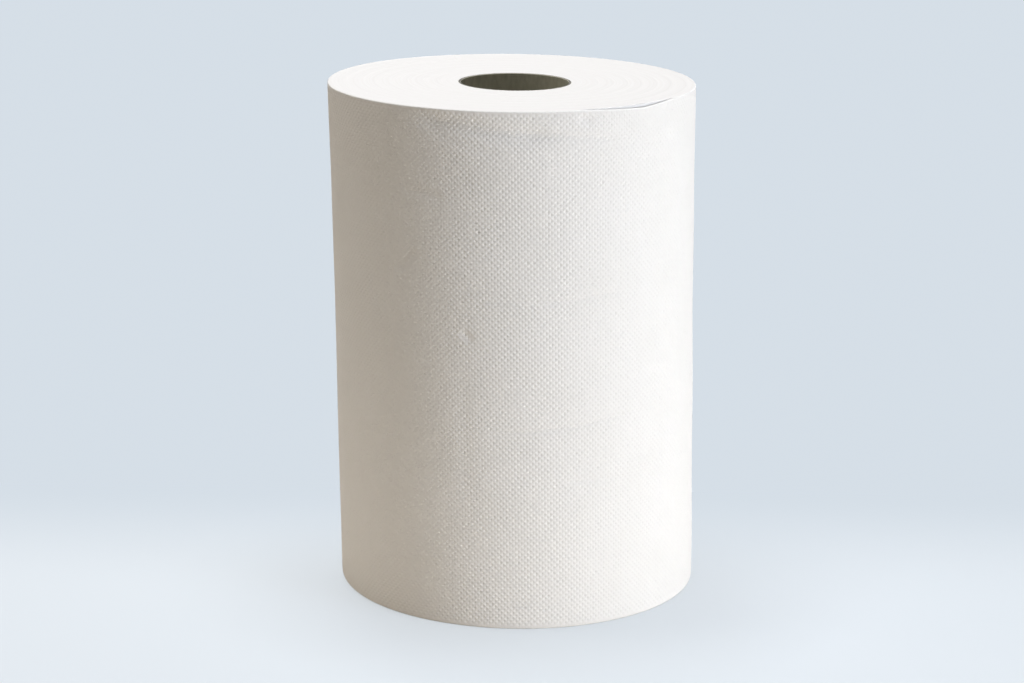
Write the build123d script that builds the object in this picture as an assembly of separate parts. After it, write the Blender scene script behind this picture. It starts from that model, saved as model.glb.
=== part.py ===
from build123d import *
import math
import os

os.makedirs("parts", exist_ok=True)

# A roll of paper towel standing on its end, in millimetres with +Z up.
# The origin is on the card core's axis, level with the end it stands on.

# The sheet and the roll
SHEET_WIDTH = 200.0  # height of the standing roll
ROLL_DIAMETER = 142.3  # over the outermost turn, at the tail
TURN_THICKNESS = 0.3  # two plies of embossed tissue, as wound
TAIL_ANGLE = 78.0  # where the sheet's cut end lies, degrees from +X
RIM_BEVEL = 0.8  # the outer edge of both ends, pressed down by handling

# The card core, which sits a little off the middle of the roll
CORE_BORE = 42.0
CARD_WALL = 1.0
CORE_OFFSET = Vector(1.35, -2.0)

# The turns as they show on both ends: one parted turn in every twenty
TURNS_PER_LINE = 20
LINE_WIDTH = 0.6
LINE_DEPTH = 0.5

# The stretch of the upper rim where the outermost turns stand off the rest, as a crescent gap
LOOSE_START = -67.0  # degrees from +X
LOOSE_END = -24.0
LOOSE_TURNS = 2
LOOSE_GAP = 1.0  # at its widest, in the middle of the stretch
LOOSE_DEPTH = 6.0

ARCS_PER_TURN = 4  # a spiral turn is drawn as this many tangent arcs
arc_sweep = 360 / ARCS_PER_TURN
roll_radius = ROLL_DIAMETER / 2
core_radius = CORE_BORE / 2 + CARD_WALL
roll_axis = -CORE_OFFSET
line_pitch = TURNS_PER_LINE * TURN_THICKNESS


def heading(angle):
    return Vector(math.cos(math.radians(angle)), math.sin(math.radians(angle)))


def coil(section, radius, pitch, arcs, drift):
    """Arcs of a section, wound inwards from the tail, each tangent to the one before.

    Each arc has its own centre, and drift is how far the centre moves over the whole coil.
    """
    step = pitch / ARCS_PER_TURN
    centres_radius = step / (2 * math.sin(math.radians(arc_sweep / 2)))
    centre = roll_axis + heading(TAIL_ANGLE + 90 - arc_sweep / 2) * centres_radius
    turns = []
    for n in range(1, arcs + 1):
        joint = TAIL_ANGLE - n * arc_sweep
        arc = revolve(Plane.XZ * section(radius), Axis.Z, arc_sweep)
        turns.append(Pos(centre.X, centre.Y) * Rot(0, 0, joint) * arc)
        moved = step + drift.dot(heading(joint)) * 2 / arcs
        centre += heading(joint) * moved
        radius -= moved
    return turns


def paper_section(radius):
    """Half of the roll's upright section, from its axis out to the side."""
    outline = Pos(radius / 2, SHEET_WIDTH / 2) * Rectangle(radius, SHEET_WIDTH)
    return chamfer(outline.vertices().group_by(Axis.X)[-1], RIM_BEVEL)


def line_section(radius):
    """The parting between two turns at the upper end, open upwards."""
    return make_face(
        Polyline(
            (radius, SHEET_WIDTH - LINE_DEPTH),
            (radius + LINE_WIDTH, SHEET_WIDTH + LINE_DEPTH),
            (radius - LINE_WIDTH, SHEET_WIDTH + LINE_DEPTH),
            close=True,
        )
    )


# The whole wound sheet as one solid: a single spiral turn outside, ending in the tail's straight cut edge
paper = Part() + coil(paper_section, roll_radius, TURN_THICKNESS, ARCS_PER_TURN, Vector())
paper -= Cylinder(core_radius, SHEET_WIDTH, align=(Align.CENTER, Align.CENTER, Align.MIN))

# The lines of the turns start just inside the tail and close in on the core
line_start = roll_radius - line_pitch / ARCS_PER_TURN
line_turns = (line_start - core_radius) / line_pitch - 1 / 2
lines = coil(line_section, line_start, line_pitch, int(line_turns * ARCS_PER_TURN), CORE_OFFSET)
paper -= lines
paper -= [mirror(line, Plane.XY.offset(SHEET_WIDTH / 2)) for line in lines]

# The outermost turns stand off along part of the upper rim
loose_radius = roll_radius - LOOSE_TURNS * TURN_THICKNESS
loose_middle = heading((LOOSE_START + LOOSE_END) / 2)
loose_ends = [roll_axis + heading(angle) * loose_radius for angle in (LOOSE_START, LOOSE_END)]
gap_walls = [
    ThreePointArc(loose_ends[0], roll_axis + loose_middle * middle_radius, loose_ends[1])
    for middle_radius in (loose_radius, loose_radius - LOOSE_GAP)
]
paper -= Pos(0, 0, SHEET_WIDTH) * extrude(make_face(gap_walls), -LOOSE_DEPTH)

core = extrude(Circle(core_radius) - Circle(CORE_BORE / 2), SHEET_WIDTH)

export_step(paper, "parts/wound_paper.step")
export_step(core, "parts/card_core.step")
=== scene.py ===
import math

import bmesh
import bpy
import numpy as np
from mathutils import Matrix, Vector


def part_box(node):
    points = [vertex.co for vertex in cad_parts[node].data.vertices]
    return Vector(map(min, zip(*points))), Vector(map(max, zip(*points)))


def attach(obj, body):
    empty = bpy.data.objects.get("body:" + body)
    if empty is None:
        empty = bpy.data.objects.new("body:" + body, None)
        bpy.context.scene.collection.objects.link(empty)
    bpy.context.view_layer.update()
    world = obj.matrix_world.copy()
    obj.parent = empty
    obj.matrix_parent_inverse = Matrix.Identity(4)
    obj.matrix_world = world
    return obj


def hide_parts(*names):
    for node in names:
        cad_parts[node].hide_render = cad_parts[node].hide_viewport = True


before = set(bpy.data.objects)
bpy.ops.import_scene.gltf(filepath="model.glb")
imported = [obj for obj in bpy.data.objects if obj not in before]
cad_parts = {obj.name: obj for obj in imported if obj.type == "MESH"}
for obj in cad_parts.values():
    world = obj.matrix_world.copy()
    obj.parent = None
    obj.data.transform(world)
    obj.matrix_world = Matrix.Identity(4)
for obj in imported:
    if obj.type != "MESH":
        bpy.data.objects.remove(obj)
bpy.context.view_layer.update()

# The pieces below are in millimetres and degrees until they become meshes
MM = 0.001
paper_low, paper_high = (np.array(corner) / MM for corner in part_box("wound_paper"))
core_low, core_high = (np.array(corner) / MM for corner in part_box("card_core"))
HEIGHT = paper_high[2] - paper_low[2]
ROLL_RADIUS = (paper_high - paper_low)[:2].mean() / 2
ROLL_AXIS = (paper_high + paper_low)[:2] / 2
CORE_AXIS = (core_high + core_low)[:2] / 2
CORE_RADIUS = (core_high - core_low)[0] / 2
CARD_WALL = 1.0

# The turns have crept sideways as they were wound: the top lies this far along X from the foot
LEAN = -4.3

# The wound sheet: one spiral turn outside, and the lines of the turns on both ends
TAIL_ANGLE = 78.0  # from +X
TURN_THICKNESS = 0.3
LINE_PITCH = 6.0
LINE_INSET = LINE_PITCH / 4
LINE_CORE_GAP = 1.2  # plain paper round the core
LINE_END_MARGIN = LINE_PITCH / 2 + LINE_CORE_GAP
LINE_WIDTH = 0.4
LINE_DEPTH = 0.05
LINE_TAPER = 12.0  # degrees over which a line fades in and out
RIM_ROUND = 0.4
FOOT_ROUND = 0.9
ROUND_STEPS = 3

# The saw cut's faint ripple on the ends: radians for each pitch of the lines inwards, and waves around
RIPPLE_DEPTH = 0.015
RIPPLE_INWARDS = 9.7
RIPPLE_WANDER, RIPPLE_WANDER_INWARDS = 3, 1.3
RIPPLE_AROUND, RIPPLE_TWIST = 3, 2

# The emboss: pits on a diagonal lattice, one at every second corner of a square grid
DOT_PERIOD = 2.25
DOT_DEPTH = 0.12
DOT_UNEVEN = 0.25
PIT_SHARPNESS = 0.05  # a finer pit in the middle of each, as bump
PIT_EDGE = 0.2  # where the finer pit begins, on the dot's wave from -1 to 1
PLAIN_RIM = 1.6  # the emboss is pressed flat this near the rim and the foot
RIM_FLARE = 0.6  # the roll widens a little towards the rim
RIM_FLARE_HEIGHT = 45.0

# The soft unevenness of the side, as a sum of waves
SWAY_WAVES = 6
SWAY_DEPTH = 0.10
SWAY_AROUND = 2, 9  # the fewest round the roll, and one more than the most
SWAY_UP = 4  # the most from foot to rim

# Where the outermost turns have slipped down and stand off the rest, right of the front
LOOSE_START, LOOSE_PEAK, LOOSE_END = 20.0, 44.0, 60.0
LOOSE_LIP = 0.6
LOOSE_GAP = 1.0
LOOSE_BLUNT = 0.7  # below 1, the gap opens quickly at its two ends
LOOSE_FLOOR = 0.15, 0.85  # the part of the gap's width that its floor takes up
LOOSE_DEPTH = 4.0
LOOSE_DROP = 1.2
LOOSE_BULGE = 0.3
LOOSE_FADE = 14.0

# Handling creases on the side: points (degrees right of the front, height), depth and half width
CREASES = (
    (((-11.0, 77.0), (2.0, 78.6), (18.8, 79.7), (27.1, 81.2), (42.0, 83.1)), 0.28, 1.2),
    (((2.0, 127.5), (15.8, 128.7), (23.8, 129.6), (40.0, 130.4)), 0.20, 1.2),
    (((14.0, 58.6), (24.3, 58.3), (35.0, 58.3)), 0.25, 1.2),
    (((-30.0, 146.5), (-33.7, 141.9), (-37.5, 136.0)), 0.50, 1.8),
    (((-36.0, 168.5), (-28.6, 168.1), (-20.0, 166.6)), 0.30, 1.6),
    (((-14.6, 115.6), (-13.6, 114.4)), 0.40, 1.6),
    (((21.5, 196.9), (23.5, 196.3)), 0.35, 1.4),
)
CREASE_FULL = 0.5  # a crease of this depth or more
CREASE_FLAT = 0.6  # presses out this share of the emboss
CREASE_FADE = 4  # one part in this many of a crease's length fades, at each end

# Softer bends, which leave the emboss as it is: one down the side and three below the rim
BENDS = (
    (((-16.4, 109.0), (-15.6, 90.1), (-14.9, 70.6), (-15.5, 42.0)), 0.10, 3.0),
    (((-34.0, 196.5), (-17.0, 194.6), (-7.8, 192.9), (5.9, 191.5), (16.0, 191.2)), 0.90, 3.6),
    (((0.0, 192.0), (5.9, 191.5), (17.7, 190.5), (36.0, 188.2)), 0.35, 1.5),
    (((-26.0, 191.8), (-14.7, 187.4), (-2.0, 183.4)), 0.15, 2.0),
)

# The card tube is wound of strips of grey board. The inner strip's edges meet in a helical joint
CARD_SEGMENTS = 128
CARD_ROWS = 120
CARD_EDGE = 0.15
CARD_FIT = 0.02
JOINT_TURNS = 2  # a whole number, so that the outside of the tube needs no rows of its own
JOINT_WIDTH = 0.5
JOINT_DEPTH = 0.12

# Looks: the two colours that each surface varies between, and the scales of its noise, in 1/m
TISSUE_COLOURS = (0.835, 0.825, 0.805), (0.85, 0.84, 0.825)
CUT_COLOURS = (0.83, 0.82, 0.805), (0.86, 0.855, 0.845)
BOARD_COLOURS = (0.50, 0.485, 0.385), (0.62, 0.60, 0.49)
# The tube's flat ends are far darker than its walls: a dark ring round the bore
BOARD_CUT_COLOURS = (0.12, 0.115, 0.105), (0.18, 0.175, 0.165)
CLOUD_SCALE = 60.0
FIBRE_SCALE = 2600.0
FIBRE_HEIGHT = 0.02
RING_SCALE = 900.0
CUT_FIBRE_SCALE = 3000.0
CUT_FIBRE_SHARE = 0.6  # the height of its fibres beside that of its rings
BOARD_SCALE = 700.0
BOARD_STRETCH = (1.0, 1.0, 0.35)  # its fibres are longer upwards
SHARP_ANGLE = 40.0

COLUMNS = 2 * round(2 * math.pi * ROLL_RADIUS / DOT_PERIOD)
ROWS = round((HEIGHT - FOOT_ROUND - RIM_ROUND) / (DOT_PERIOD / 2))
ROW_HEIGHT = (HEIGHT - FOOT_ROUND - RIM_ROUND) / ROWS
line_start = ROLL_RADIUS + TURN_THICKNESS / 2 - LINE_INSET
# Whole quarters of a turn
line_turns = math.floor(4 * (line_start - CORE_RADIUS - LINE_END_MARGIN) / LINE_PITCH) / 4
SEED = 7
rng = np.random.default_rng(SEED)


def smoothstep(x):
    x = np.clip(x, 0.0, 1.0)
    return x * x * (3 - 2 * x)


def column_angle(column):
    """Radians from +X. Columns run anticlockwise, from under the tail round to the tail's outside."""
    return np.radians(TAIL_ANGLE) + 2 * np.pi * np.asarray(column) / COLUMNS


def from_front(angle):
    """Degrees right of the front line, from -180 to 180, for radians from +X."""
    return (np.degrees(angle) + 90 + 180) % 360 - 180


def side_radius(column):
    return ROLL_RADIUS + TURN_THICKNESS * (np.asarray(column) / COLUMNS - 0.5)


def points_about(axis, radius, angle, height):
    """Points at a radius, an angle and a height about an upright axis, or about one axis each."""
    x = axis[..., 0] + radius * np.cos(angle)
    y = axis[..., 1] + radius * np.sin(angle)
    return np.stack(np.broadcast_arrays(x, y, height), -1)


def loose_share(degrees):
    """0 at the two ends of the loose stretch of rim and outside it, 1 at its peak."""
    return np.interp(degrees, (LOOSE_START, LOOSE_PEAK, LOOSE_END), (0.0, 1.0, 0.0))


def crease(degrees, height, points, depth, half_width):
    """How far one crease presses the side in. It fades towards its two ends."""
    arc = np.radians(1) * ROLL_RADIUS
    path = np.array([(d * arc, z) for d, z in points])
    middle = path[:, 0].mean() / arc
    at = np.stack([((degrees - middle + 180) % 360 - 180 + middle) * arc, height], -1)
    lengths = np.linalg.norm(np.diff(path, axis=0), axis=1)
    nearest = np.full(height.shape, np.inf)
    share = np.zeros(height.shape)
    for n, (a, b) in enumerate(zip(path[:-1], path[1:])):
        t = np.clip(((at - a) @ (b - a)) / lengths[n] ** 2, 0.0, 1.0)
        away = np.linalg.norm(at - a - t[..., None] * (b - a), axis=-1)
        along = (lengths[:n].sum() + t * lengths[n]) / lengths.sum()
        share = np.where(away < nearest, along, share)
        nearest = np.minimum(nearest, away)
    # One of two points is a short dent, and its ends stay full
    ends = 1.0
    if len(points) > 2:
        ends = smoothstep(CREASE_FADE * share) * smoothstep(CREASE_FADE - CREASE_FADE * share)
    return depth * ends * np.exp(-((nearest / half_width) ** 2))


def sway(angle, height):
    """A soft unevenness that closes on itself round the roll."""
    total = np.zeros(np.broadcast(angle, height).shape)
    for _ in range(SWAY_WAVES):
        around = rng.integers(*SWAY_AROUND)
        up = rng.uniform(-SWAY_UP, SWAY_UP) / HEIGHT
        total += np.sin(around * angle + 2 * np.pi * (up * height + rng.uniform()))
    return SWAY_DEPTH * total / math.sqrt(SWAY_WAVES)


class Shell:
    """Vertices and faces of one closed mesh, gathered part by part."""

    def __init__(self):
        self.points, self.faces, self.kinds = [], [], []
        self.count = 0

    def add(self, points):
        """Adds the points and returns the numbers of their vertices, in the same rows."""
        first = self.count
        self.points.append(points.reshape(-1, 3))
        self.count += len(self.points[-1])
        return np.arange(first, self.count).reshape(points.shape[:-1])

    def face(self, kind, *corners):
        self.faces.append(tuple(int(c) for c in corners))
        self.kinds.append(kind)

    def strip(self, kind, a, b):
        """Quads between two rows of vertices of the same length."""
        for n in range(len(a) - 1):
            self.face(kind, a[n], a[n + 1], b[n + 1], b[n])

    def mesh(self, name):
        """The gathered mesh, leaning as the roll does, with its faces outwards."""
        points = np.concatenate(self.points)
        points[:, 0] += LEAN * (points[:, 2] / HEIGHT - 0.5)
        mesh = bpy.data.meshes.new(name)
        mesh.from_pydata(points * MM, [], self.faces)
        work = bmesh.new()
        work.from_mesh(mesh)
        bmesh.ops.recalc_face_normals(work, faces=work.faces)
        work.to_mesh(mesh)
        work.free()
        return mesh


EMBOSSED, PLAIN, CUT = range(3)


def side_profile():
    """How far in from the side each row lies, and its height, from the foot's edge to the rim's."""
    turn = np.radians(np.linspace(0, 90, ROUND_STEPS + 1))
    foot, rim = turn[:-1], turn[1:]
    side = np.linspace(FOOT_ROUND, HEIGHT - RIM_ROUND, ROWS + 1)
    inset = [FOOT_ROUND * (1 - np.sin(foot)), 0 * side, RIM_ROUND * (1 - np.cos(rim))]
    height = [FOOT_ROUND * (1 - np.cos(foot)), side, HEIGHT - RIM_ROUND * (1 - np.sin(rim))]
    return np.concatenate(inset), np.concatenate(height)


def build_side(shell):
    """The embossed side with its rounded edges and the tail's cut edge.

    Returns its vertices by row and column.
    """
    inset, height = (values[:, None] for values in side_profile())
    column = np.arange(COLUMNS + 1)[None, :]
    row = np.arange(len(height))[:, None]
    angle = column_angle(column)
    degrees = from_front(angle)
    edge = np.minimum(height - FOOT_ROUND, HEIGHT - RIM_ROUND - height)
    fade = smoothstep(edge / PLAIN_RIM)
    top = HEIGHT - height
    loose = loose_share(degrees)
    places = np.broadcast_arrays(degrees, height)

    creases = sum(crease(*places, *spec) for spec in CREASES)
    bends = sum(crease(*places, *spec) for spec in BENDS)
    uneven = 1 + DOT_UNEVEN * rng.standard_normal(creases.shape)
    pit = ((row + column) % 2 == 0) * uneven - 0.5
    pressed = 1 - CREASE_FLAT * np.clip(creases / CREASE_FULL, 0, 1)
    out = -DOT_DEPTH * fade * pressed * pit - creases - bends
    out += sway(angle, height)
    out += RIM_FLARE * smoothstep(1 - top / RIM_FLARE_HEIGHT)
    out += LOOSE_BULGE * loose * np.exp(-((top / LOOSE_FADE) ** 2))

    radius = side_radius(column) - inset + out
    drop = LOOSE_DROP * loose * smoothstep(1 - top / LOOSE_FADE)
    index = shell.add(points_about(ROLL_AXIS, radius, angle, height - drop))

    for r in range(len(index) - 1):
        low, high = index[r], index[r + 1]
        if r < ROUND_STEPS or r >= len(index) - 1 - ROUND_STEPS:
            shell.strip(PLAIN, low, high)
            continue
        for c in range(COLUMNS):
            # The fold between two pits runs from land to land
            if (r + c) % 2 == 0:
                shell.face(EMBOSSED, low[c], low[c + 1], high[c])
                shell.face(EMBOSSED, low[c + 1], high[c + 1], high[c])
            else:
                shell.face(EMBOSSED, low[c], low[c + 1], high[c + 1])
                shell.face(EMBOSSED, low[c], high[c + 1], high[c])
    shell.strip(CUT, index[:, COLUMNS], index[:, 0])
    return index


def build_loose_gap(shell):
    """The crescent between the outermost turns and the rest, as rows of vertices by column of the rim."""
    columns = [c for c in range(COLUMNS + 1) if LOOSE_START < from_front(column_angle(c)) < LOOSE_END]
    angle = column_angle(columns)
    share = loose_share(from_front(angle))
    lip = side_radius(columns) - LOOSE_LIP + LOOSE_BULGE * share
    gap = LOOSE_GAP * share**LOOSE_BLUNT
    lip_height = HEIGHT - LOOSE_DROP * share
    floor_height = lip_height - LOOSE_DEPTH * share
    near, far = LOOSE_FLOOR
    section = (0.0, lip_height), (near, floor_height), (far, floor_height), (1.0, HEIGHT)
    rows = [
        shell.add(points_about(ROLL_AXIS, lip - inward * gap, angle, height)) for inward, height in section
    ]
    for a, b in zip(rows[:-1], rows[1:]):
        shell.strip(CUT, a, b)
    return {c: [row[n] for row in rows] for n, c in enumerate(columns)}


def build_end(shell, rim, level, inward, gap):
    """One saw-cut end: a strip as wide as the pitch of the lines, wound from the rim to the core.

    rim is the side's row of vertices there, level the end's height, inward the way into the paper,
    and gap the crescent's vertices by column. Returns the ring of vertices at the core.
    """
    steps = round(line_turns * COLUMNS)
    n = np.arange(steps + 1)[:, None]
    across = np.array([-LINE_WIDTH / 2, 0.0, LINE_WIDTH / 2, LINE_PITCH / 2])[None, :]
    groove = np.array([0.0, LINE_DEPTH, 0.0, 0.0])[None, :]
    u = n / COLUMNS + across / LINE_PITCH
    angle = column_angle(COLUMNS - n)
    radius = line_start - LINE_PITCH * u
    centre = ROLL_AXIS + (CORE_AXIS - ROLL_AXIS) * np.clip(u / line_turns, 0, 1)[..., None]
    taper_steps = COLUMNS * LINE_TAPER / 360
    taper = smoothstep(n / taper_steps) * smoothstep((steps - n) / taper_steps)
    wave = np.sin(RIPPLE_INWARDS * u + RIPPLE_WANDER * np.sin(RIPPLE_WANDER_INWARDS * u))
    ripple = RIPPLE_DEPTH * (1 + wave * np.sin(angle * RIPPLE_AROUND + RIPPLE_TWIST * u))
    depth = groove * taper + ripple * taper
    strip = shell.add(points_about(centre, radius, angle, level + inward * depth))

    ring_angle = column_angle(COLUMNS - np.arange(COLUMNS))
    ring = shell.add(points_about(CORE_AXIS, CORE_RADIUS, ring_angle, level))

    for m in range(strip.shape[1] - 1):
        shell.strip(CUT, strip[:, m], strip[:, m + 1])
    shell.strip(CUT, strip[:-COLUMNS, -1], strip[COLUMNS:, 0])

    # From the rim to the first line. The tail's edge ends on the line's own start
    for k in range(COLUMNS):
        c, d = COLUMNS - k, COLUMNS - k - 1
        here, there = gap.get(c, []), gap.get(d, [])
        if here and there:
            shell.face(CUT, rim[c], rim[d], there[0], here[0])
            shell.face(CUT, here[-1], there[-1], strip[k + 1, 0], strip[k, 0])
        elif k == 0:
            shell.face(CUT, rim[c], rim[d], strip[1, 0], strip[0, 0], rim[0])
        elif k == COLUMNS - 1:
            shell.face(CUT, rim[c], rim[d], *strip[0, :], strip[k + 1, 0], strip[k, 0])
        else:
            shell.face(CUT, rim[c], rim[d], *there, strip[k + 1, 0], strip[k, 0], *reversed(here))

    # From the last turn of the lines to the core
    for k in range(steps - COLUMNS, steps):
        a, b = k % COLUMNS, (k + 1) % COLUMNS
        closing = reversed(strip[steps, :]) if k == steps - COLUMNS else ()
        shell.face(CUT, strip[k, -1], strip[k + 1, -1], ring[b], ring[a], *closing)
    return ring


def build_core(shell):
    """The card tube. Its columns follow the winding of the board, and column 0 is the joint."""
    outer, inner = CORE_RADIUS - CARD_FIT, CORE_RADIUS - CARD_WALL
    low, high = CARD_EDGE, HEIGHT - CARD_EDGE
    wall = np.linspace(high, low, CARD_ROWS)
    end = [inner + CARD_EDGE, outer - CARD_EDGE]
    radius = np.concatenate([[outer, outer], end[::-1], 0 * wall + inner, end])[:, None]
    height = np.concatenate([[low, high, HEIGHT, HEIGHT], wall, [0.0, 0.0]])[:, None]
    half = JOINT_WIDTH / 2 / inner
    around = np.concatenate([[0.0], np.linspace(half, 2 * np.pi - half, CARD_SEGMENTS)])[None, :]
    joint = JOINT_DEPTH * (radius == inner) * (around == 0)
    angle = around + 2 * np.pi * JOINT_TURNS * height / HEIGHT
    index = shell.add(points_about(CORE_AXIS, radius + joint, angle, height))
    closed = np.concatenate([index, index[:, :1]], axis=1)
    levels = height[:, 0]
    for row in range(len(closed)):
        following = (row + 1) % len(closed)
        kind = CUT if levels[row] == levels[following] else PLAIN
        shell.strip(kind, closed[row], closed[following])


def nodes_of(name):
    """A new material, its tree and its shader."""
    material = bpy.data.materials.new(name)
    material.use_nodes = True
    tree = material.node_tree
    return material, tree, tree.nodes["Principled BSDF"]


def add_node(tree, kind, inputs=None, **settings):
    """A node with its settings, and its inputs given as values or as sockets to link."""
    node = tree.nodes.new(kind)
    for key, value in settings.items():
        setattr(node, key, value)
    for key, value in (inputs or {}).items():
        if isinstance(value, bpy.types.NodeSocket):
            tree.links.new(value, node.inputs[key])
        else:
            node.inputs[key].default_value = value
    return node


def maths(tree, operation, *values):
    return add_node(tree, "ShaderNodeMath", dict(enumerate(values)), operation=operation).outputs[0]


def noise(tree, inputs, **settings):
    return add_node(tree, "ShaderNodeTexNoise", inputs, **settings).outputs["Fac"]


def ramp(tree, factor, colours, ends=(0.3, 0.7)):
    """From the first colour to the second, as factor goes from one end to the other."""
    node = add_node(tree, "ShaderNodeValToRGB", {"Fac": factor})
    for element, place, colour in zip(node.color_ramp.elements, ends, colours):
        element.position = place
        element.color = (*colour, 1.0)
    return node.outputs["Color"]


def smooth_range(tree, value, low, high):
    """0 below low and 1 above high, with a soft change between."""
    given = {"Value": value, "From Min": low, "From Max": high}
    node = add_node(tree, "ShaderNodeMapRange", given, interpolation_type="SMOOTHSTEP")
    return node.outputs["Result"]


def mix_colour(tree, factor, a, b):
    # By number, as the sockets of the other data types have the same names
    given = {"Factor": factor, 6: a, 7: b}
    return add_node(tree, "ShaderNodeMix", given, data_type="RGBA").outputs[2]


def add_bump(tree, shader, height, strength, distance):
    """Bump from a socket of heights, where 1 is distance millimetres high."""
    given = {"Height": height, "Strength": strength, "Distance": distance * MM}
    tree.links.new(add_node(tree, "ShaderNodeBump", given).outputs["Normal"], shader.inputs["Normal"])


def set_shine(shader, roughness, specular):
    shader.inputs["Roughness"].default_value = roughness
    shader.inputs["Specular IOR Level"].default_value = specular


def polar(tree):
    """Angle, radius and height about the leaning axis of the roll, in radians and metres, and the place."""
    place = add_node(tree, "ShaderNodeTexCoord").outputs["Object"]
    parts = add_node(tree, "ShaderNodeSeparateXYZ", {"Vector": place})
    z = parts.outputs["Z"]
    upright = maths(tree, "MULTIPLY_ADD", z, -LEAN / HEIGHT, parts.outputs["X"])
    x = maths(tree, "SUBTRACT", upright, float(ROLL_AXIS[0] - LEAN / 2) * MM)
    y = maths(tree, "SUBTRACT", parts.outputs["Y"], float(ROLL_AXIS[1]) * MM)
    radius = maths(tree, "SQRT", maths(tree, "MULTIPLY_ADD", x, x, maths(tree, "MULTIPLY", y, y)))
    return maths(tree, "ARCTAN2", y, x), radius, z, place


def tissue_side():
    """White embossed tissue: a fine pit in each dot and fibres as bump, and faint clouds of colour."""
    material, tree, shader = nodes_of("tissue_side")
    angle, _, z, place = polar(tree)
    cloud = noise(tree, {"Vector": place, "Scale": CLOUD_SCALE, "Detail": 4.0})
    tree.links.new(ramp(tree, cloud, TISSUE_COLOURS), shader.inputs["Base Color"])

    # Both waves are 1 in the middle of a dot, where the mesh has its pits too
    half_columns = COLUMNS / 2
    around = maths(tree, "MULTIPLY_ADD", angle, half_columns, -math.radians(TAIL_ANGLE) * half_columns)
    foot = math.pi * (ROUND_STEPS - FOOT_ROUND / ROW_HEIGHT)
    up = maths(tree, "MULTIPLY_ADD", z, math.pi / (ROW_HEIGHT * MM), foot)
    wave = maths(tree, "MULTIPLY", maths(tree, "COSINE", around), maths(tree, "COSINE", up))
    pit = smooth_range(tree, wave, PIT_EDGE, 1.0)
    fibre = noise(tree, {"Vector": place, "Scale": FIBRE_SCALE, "Detail": 3.0, "Roughness": 0.6})
    fluff = maths(tree, "MULTIPLY", fibre, FIBRE_HEIGHT)
    height = maths(tree, "MULTIPLY_ADD", pit, -PIT_SHARPNESS, fluff)
    add_bump(tree, shader, height, strength=1.0, distance=1.0)
    set_shine(shader, roughness=0.95, specular=0.15)
    return material


def tissue_cut():
    """The sheet's cut edges: a spiral of turns, each a little paler or darker than the next."""
    material, tree, shader = nodes_of("tissue_cut")
    angle, radius, _, place = polar(tree)
    wound = maths(tree, "MULTIPLY_ADD", angle, -TURN_THICKNESS * MM / (2 * math.pi), radius)
    given = {"W": wound, "Scale": RING_SCALE, "Detail": 3.0, "Roughness": 0.7}
    rings = noise(tree, given, noise_dimensions="1D")
    tree.links.new(ramp(tree, rings, CUT_COLOURS, ends=(0.3, 0.65)), shader.inputs["Base Color"])
    fibre = noise(tree, {"Vector": place, "Scale": CUT_FIBRE_SCALE, "Detail": 2.0})
    height = maths(tree, "MULTIPLY_ADD", fibre, CUT_FIBRE_SHARE, rings)
    add_bump(tree, shader, height, strength=0.3, distance=0.15)
    set_shine(shader, roughness=0.95, specular=0.1)
    return material


def grey_board(name, colours):
    """Uncoated board between two greys: short fibres and flecks."""
    material, tree, shader = nodes_of(name)
    place = add_node(tree, "ShaderNodeTexCoord").outputs["Object"]
    stretched = add_node(tree, "ShaderNodeMapping", {"Vector": place, "Scale": BOARD_STRETCH})
    given = {"Vector": stretched.outputs["Vector"], "Scale": BOARD_SCALE, "Detail": 6.0}
    fibre = noise(tree, given)
    tree.links.new(ramp(tree, fibre, colours), shader.inputs["Base Color"])
    add_bump(tree, shader, fibre, strength=0.4, distance=0.08)
    set_shine(shader, roughness=0.85, specular=0.25)
    return material


def make_piece(name, shell, side, cut, node):
    """A piece in place of a CAD node, with one material on its sides and one on its cuts."""
    mesh = shell.mesh(name)
    kinds = np.array(shell.kinds)
    mesh.set_sharp_from_angle(angle=math.radians(SHARP_ANGLE))
    mesh.polygons.foreach_set("use_smooth", kinds != EMBOSSED)
    mesh.polygons.foreach_set("material_index", (kinds == CUT).astype(np.int32))
    mesh.materials.append(side)
    mesh.materials.append(cut)
    piece = bpy.data.objects.new(name, mesh)
    bpy.context.scene.collection.objects.link(piece)
    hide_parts(node)
    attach(piece, "root")


def make_paper():
    shell = Shell()
    side = build_side(shell)
    top = build_end(shell, side[-1], HEIGHT, -1, build_loose_gap(shell))
    foot = build_end(shell, side[0], 0.0, 1, {})
    shell.strip(CUT, [*top, top[0]], [*foot, foot[0]])
    make_piece("wound_paper_sheet", shell, tissue_side(), tissue_cut(), "wound_paper")


def make_core():
    shell = Shell()
    build_core(shell)
    wall = grey_board("grey_board", BOARD_COLOURS)
    cut = grey_board("grey_board_cut", BOARD_CUT_COLOURS)
    make_piece("card_core_tube", shell, wall, cut, "card_core")


make_paper()
make_core()

# The camera, fitted to the photo's outline of the roll
FOCAL_PIXELS = 2660.0
FRAME_WIDTH = 1024
SENSOR_WIDTH = 36.0
PITCH = 14.59
CAMERA_ROLL = 0.0117  # radians
CAMERA_DISTANCE = 1061.6
AIM_LEFT, AIM_HEIGHT = 0.79, 95.18
CLIP_START, CLIP_END = 0.01, 50.0  # metres


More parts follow.
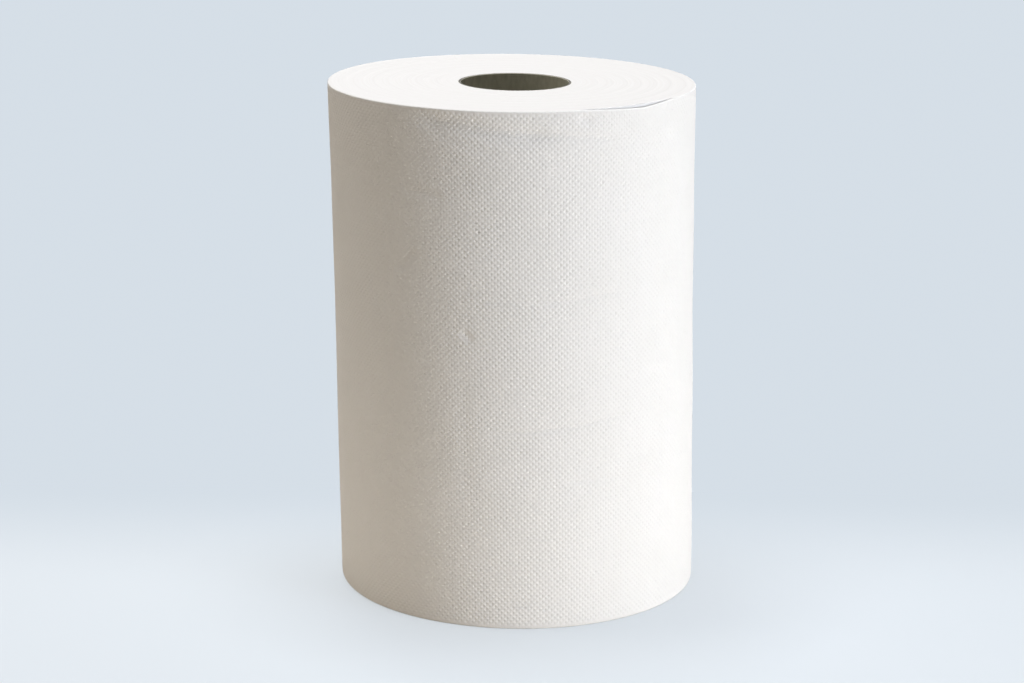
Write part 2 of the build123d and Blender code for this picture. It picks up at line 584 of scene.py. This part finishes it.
def make_camera():
    data = bpy.data.cameras.new("camera")
    data.sensor_width = SENSOR_WIDTH
    data.lens = FOCAL_PIXELS * SENSOR_WIDTH / FRAME_WIDTH
    data.clip_start = CLIP_START
    data.clip_end = CLIP_END
    camera = bpy.data.objects.new("camera", data)
    pitch = math.radians(PITCH)
    forward = Vector((0, math.cos(pitch), -math.sin(pitch)))
    level = Vector((1, 0, 0))
    steep = level.cross(forward)
    right = level * math.cos(CAMERA_ROLL) + steep * math.sin(CAMERA_ROLL)
    up = steep * math.cos(CAMERA_ROLL) - level * math.sin(CAMERA_ROLL)
    aim = Vector((ROLL_AXIS[0] - AIM_LEFT, ROLL_AXIS[1], AIM_HEIGHT))
    eye = (aim - forward * CAMERA_DISTANCE) * MM
    camera.matrix_world = Matrix.Translation(eye) @ Matrix((right, up, -forward)).transposed().to_4x4()
    bpy.context.scene.collection.objects.link(camera)
    bpy.context.scene.camera = camera


# The stage, in metres: a pale floor that turns into an even backdrop behind the roll
FLOOR_REACH = 6.0
FLOOR_COLOUR = (0.78, 0.835, 0.885, 1.0)
FLOOR_GLOW = 0.5  # share of the floor seen as even light, which keeps the shadow faint
# The floor throws back more light close to the roll, which brightens its foot
BOUNCE_NEAR, BOUNCE_FAR = (0.95, 0.865, 0.74, 1.0), (0.75, 0.68, 0.58, 1.0)
BOUNCE_REACH = 0.12, 0.32
BACKDROP_COLOUR = (0.67, 0.735, 0.80, 1.0)
HORIZON_DEPTHS = -0.04, 0.105  # the floor's colour turns into the backdrop's between these
GLOW_REACH = 0.15, 0.6  # and all of it is even light this far from the roll
AMBIENT_COLOUR = (0.03, 0.025, 0.02, 1.0)
LAMP_TARGET = Vector((0.0, 0.0, 0.1))


def seen_directly(tree):
    """1 for what the camera sees, also in a mirror or through glass, and 0 for light on its way."""
    path = add_node(tree, "ShaderNodeLightPath").outputs
    mirrored = maths(tree, "MAXIMUM", path["Is Camera Ray"], path["Is Glossy Ray"])
    return maths(tree, "MAXIMUM", mirrored, path["Is Transmission Ray"])


def make_floor():
    mesh = bpy.data.meshes.new("floor")
    corners = [(-1, -1), (1, -1), (1, 1), (-1, 1)]
    mesh.from_pydata([(x * FLOOR_REACH, y * FLOOR_REACH, 0) for x, y in corners], [], [(0, 1, 2, 3)])
    floor = bpy.data.objects.new("floor", mesh)
    floor.location.z = paper_low[2] * MM
    bpy.context.scene.collection.objects.link(floor)
    material, tree, shader = nodes_of("pale_floor")
    place = add_node(tree, "ShaderNodeTexCoord").outputs["Object"]
    depth = add_node(tree, "ShaderNodeSeparateXYZ", {"Vector": place}).outputs["Y"]
    distance = add_node(tree, "ShaderNodeVectorMath", {0: place}, operation="LENGTH").outputs["Value"]
    direct = seen_directly(tree)
    bounce = mix_colour(tree, smooth_range(tree, distance, *BOUNCE_REACH), BOUNCE_NEAR, BOUNCE_FAR)
    tree.links.new(mix_colour(tree, direct, bounce, FLOOR_COLOUR), shader.inputs["Base Color"])
    set_shine(shader, roughness=1.0, specular=0.0)
    horizon = smooth_range(tree, depth, *HORIZON_DEPTHS)
    far = smooth_range(tree, distance, *GLOW_REACH)
    seen = mix_colour(tree, horizon, FLOOR_COLOUR, BACKDROP_COLOUR)
    glow = add_node(tree, "ShaderNodeEmission", {"Color": seen}).outputs["Emission"]
    even = maths(tree, "MULTIPLY_ADD", maths(tree, "MAXIMUM", far, horizon), 1 - FLOOR_GLOW, FLOOR_GLOW)
    share = maths(tree, "MULTIPLY", even, direct)
    surface = add_node(tree, "ShaderNodeMixShader", {0: share, 1: shader.outputs["BSDF"], 2: glow})
    tree.links.new(surface.outputs["Shader"], tree.nodes["Material Output"].inputs["Surface"])
    mesh.materials.append(material)


def make_world():
    world = bpy.data.worlds.new("studio")
    world.use_nodes = True
    tree = world.node_tree
    colour = mix_colour(tree, seen_directly(tree), AMBIENT_COLOUR, BACKDROP_COLOUR)
    tree.links.new(colour, tree.nodes["Background"].inputs["Color"])
    bpy.context.scene.world = world


def make_lamp(name, place, size, watts, colour):
    data = bpy.data.lights.new(name, "AREA")
    data.shape = "RECTANGLE"
    data.size, data.size_y = size
    data.energy = watts
    data.color = colour
    lamp = bpy.data.objects.new(name, data)
    lamp.visible_camera = False
    lamp.location = place
    lamp.rotation_euler = (LAMP_TARGET - Vector(place)).to_track_quat("-Z", "Y").to_euler()
    bpy.context.scene.collection.objects.link(lamp)


make_camera()
make_floor()
make_world()
make_lamp("key", (1.09, -0.71, 0.15), size=(0.5, 0.10), watts=13.0, colour=(0.875, 0.922, 1.0))
make_lamp("top", (-0.08, 0.05, 1.60), size=(0.8, 0.8), watts=22.6, colour=(0.985, 0.985, 1.0))
make_lamp("left", (-1.12, 0.10, 0.90), size=(0.6, 0.6), watts=1.9, colour=(1.0, 0.9, 0.75))
make_lamp("back", (-0.25, 1.28, 0.15), size=(0.6, 0.12), watts=6.5, colour=(0.95, 0.97, 1.0))

bpy.context.scene.view_settings.view_transform = "Standard"
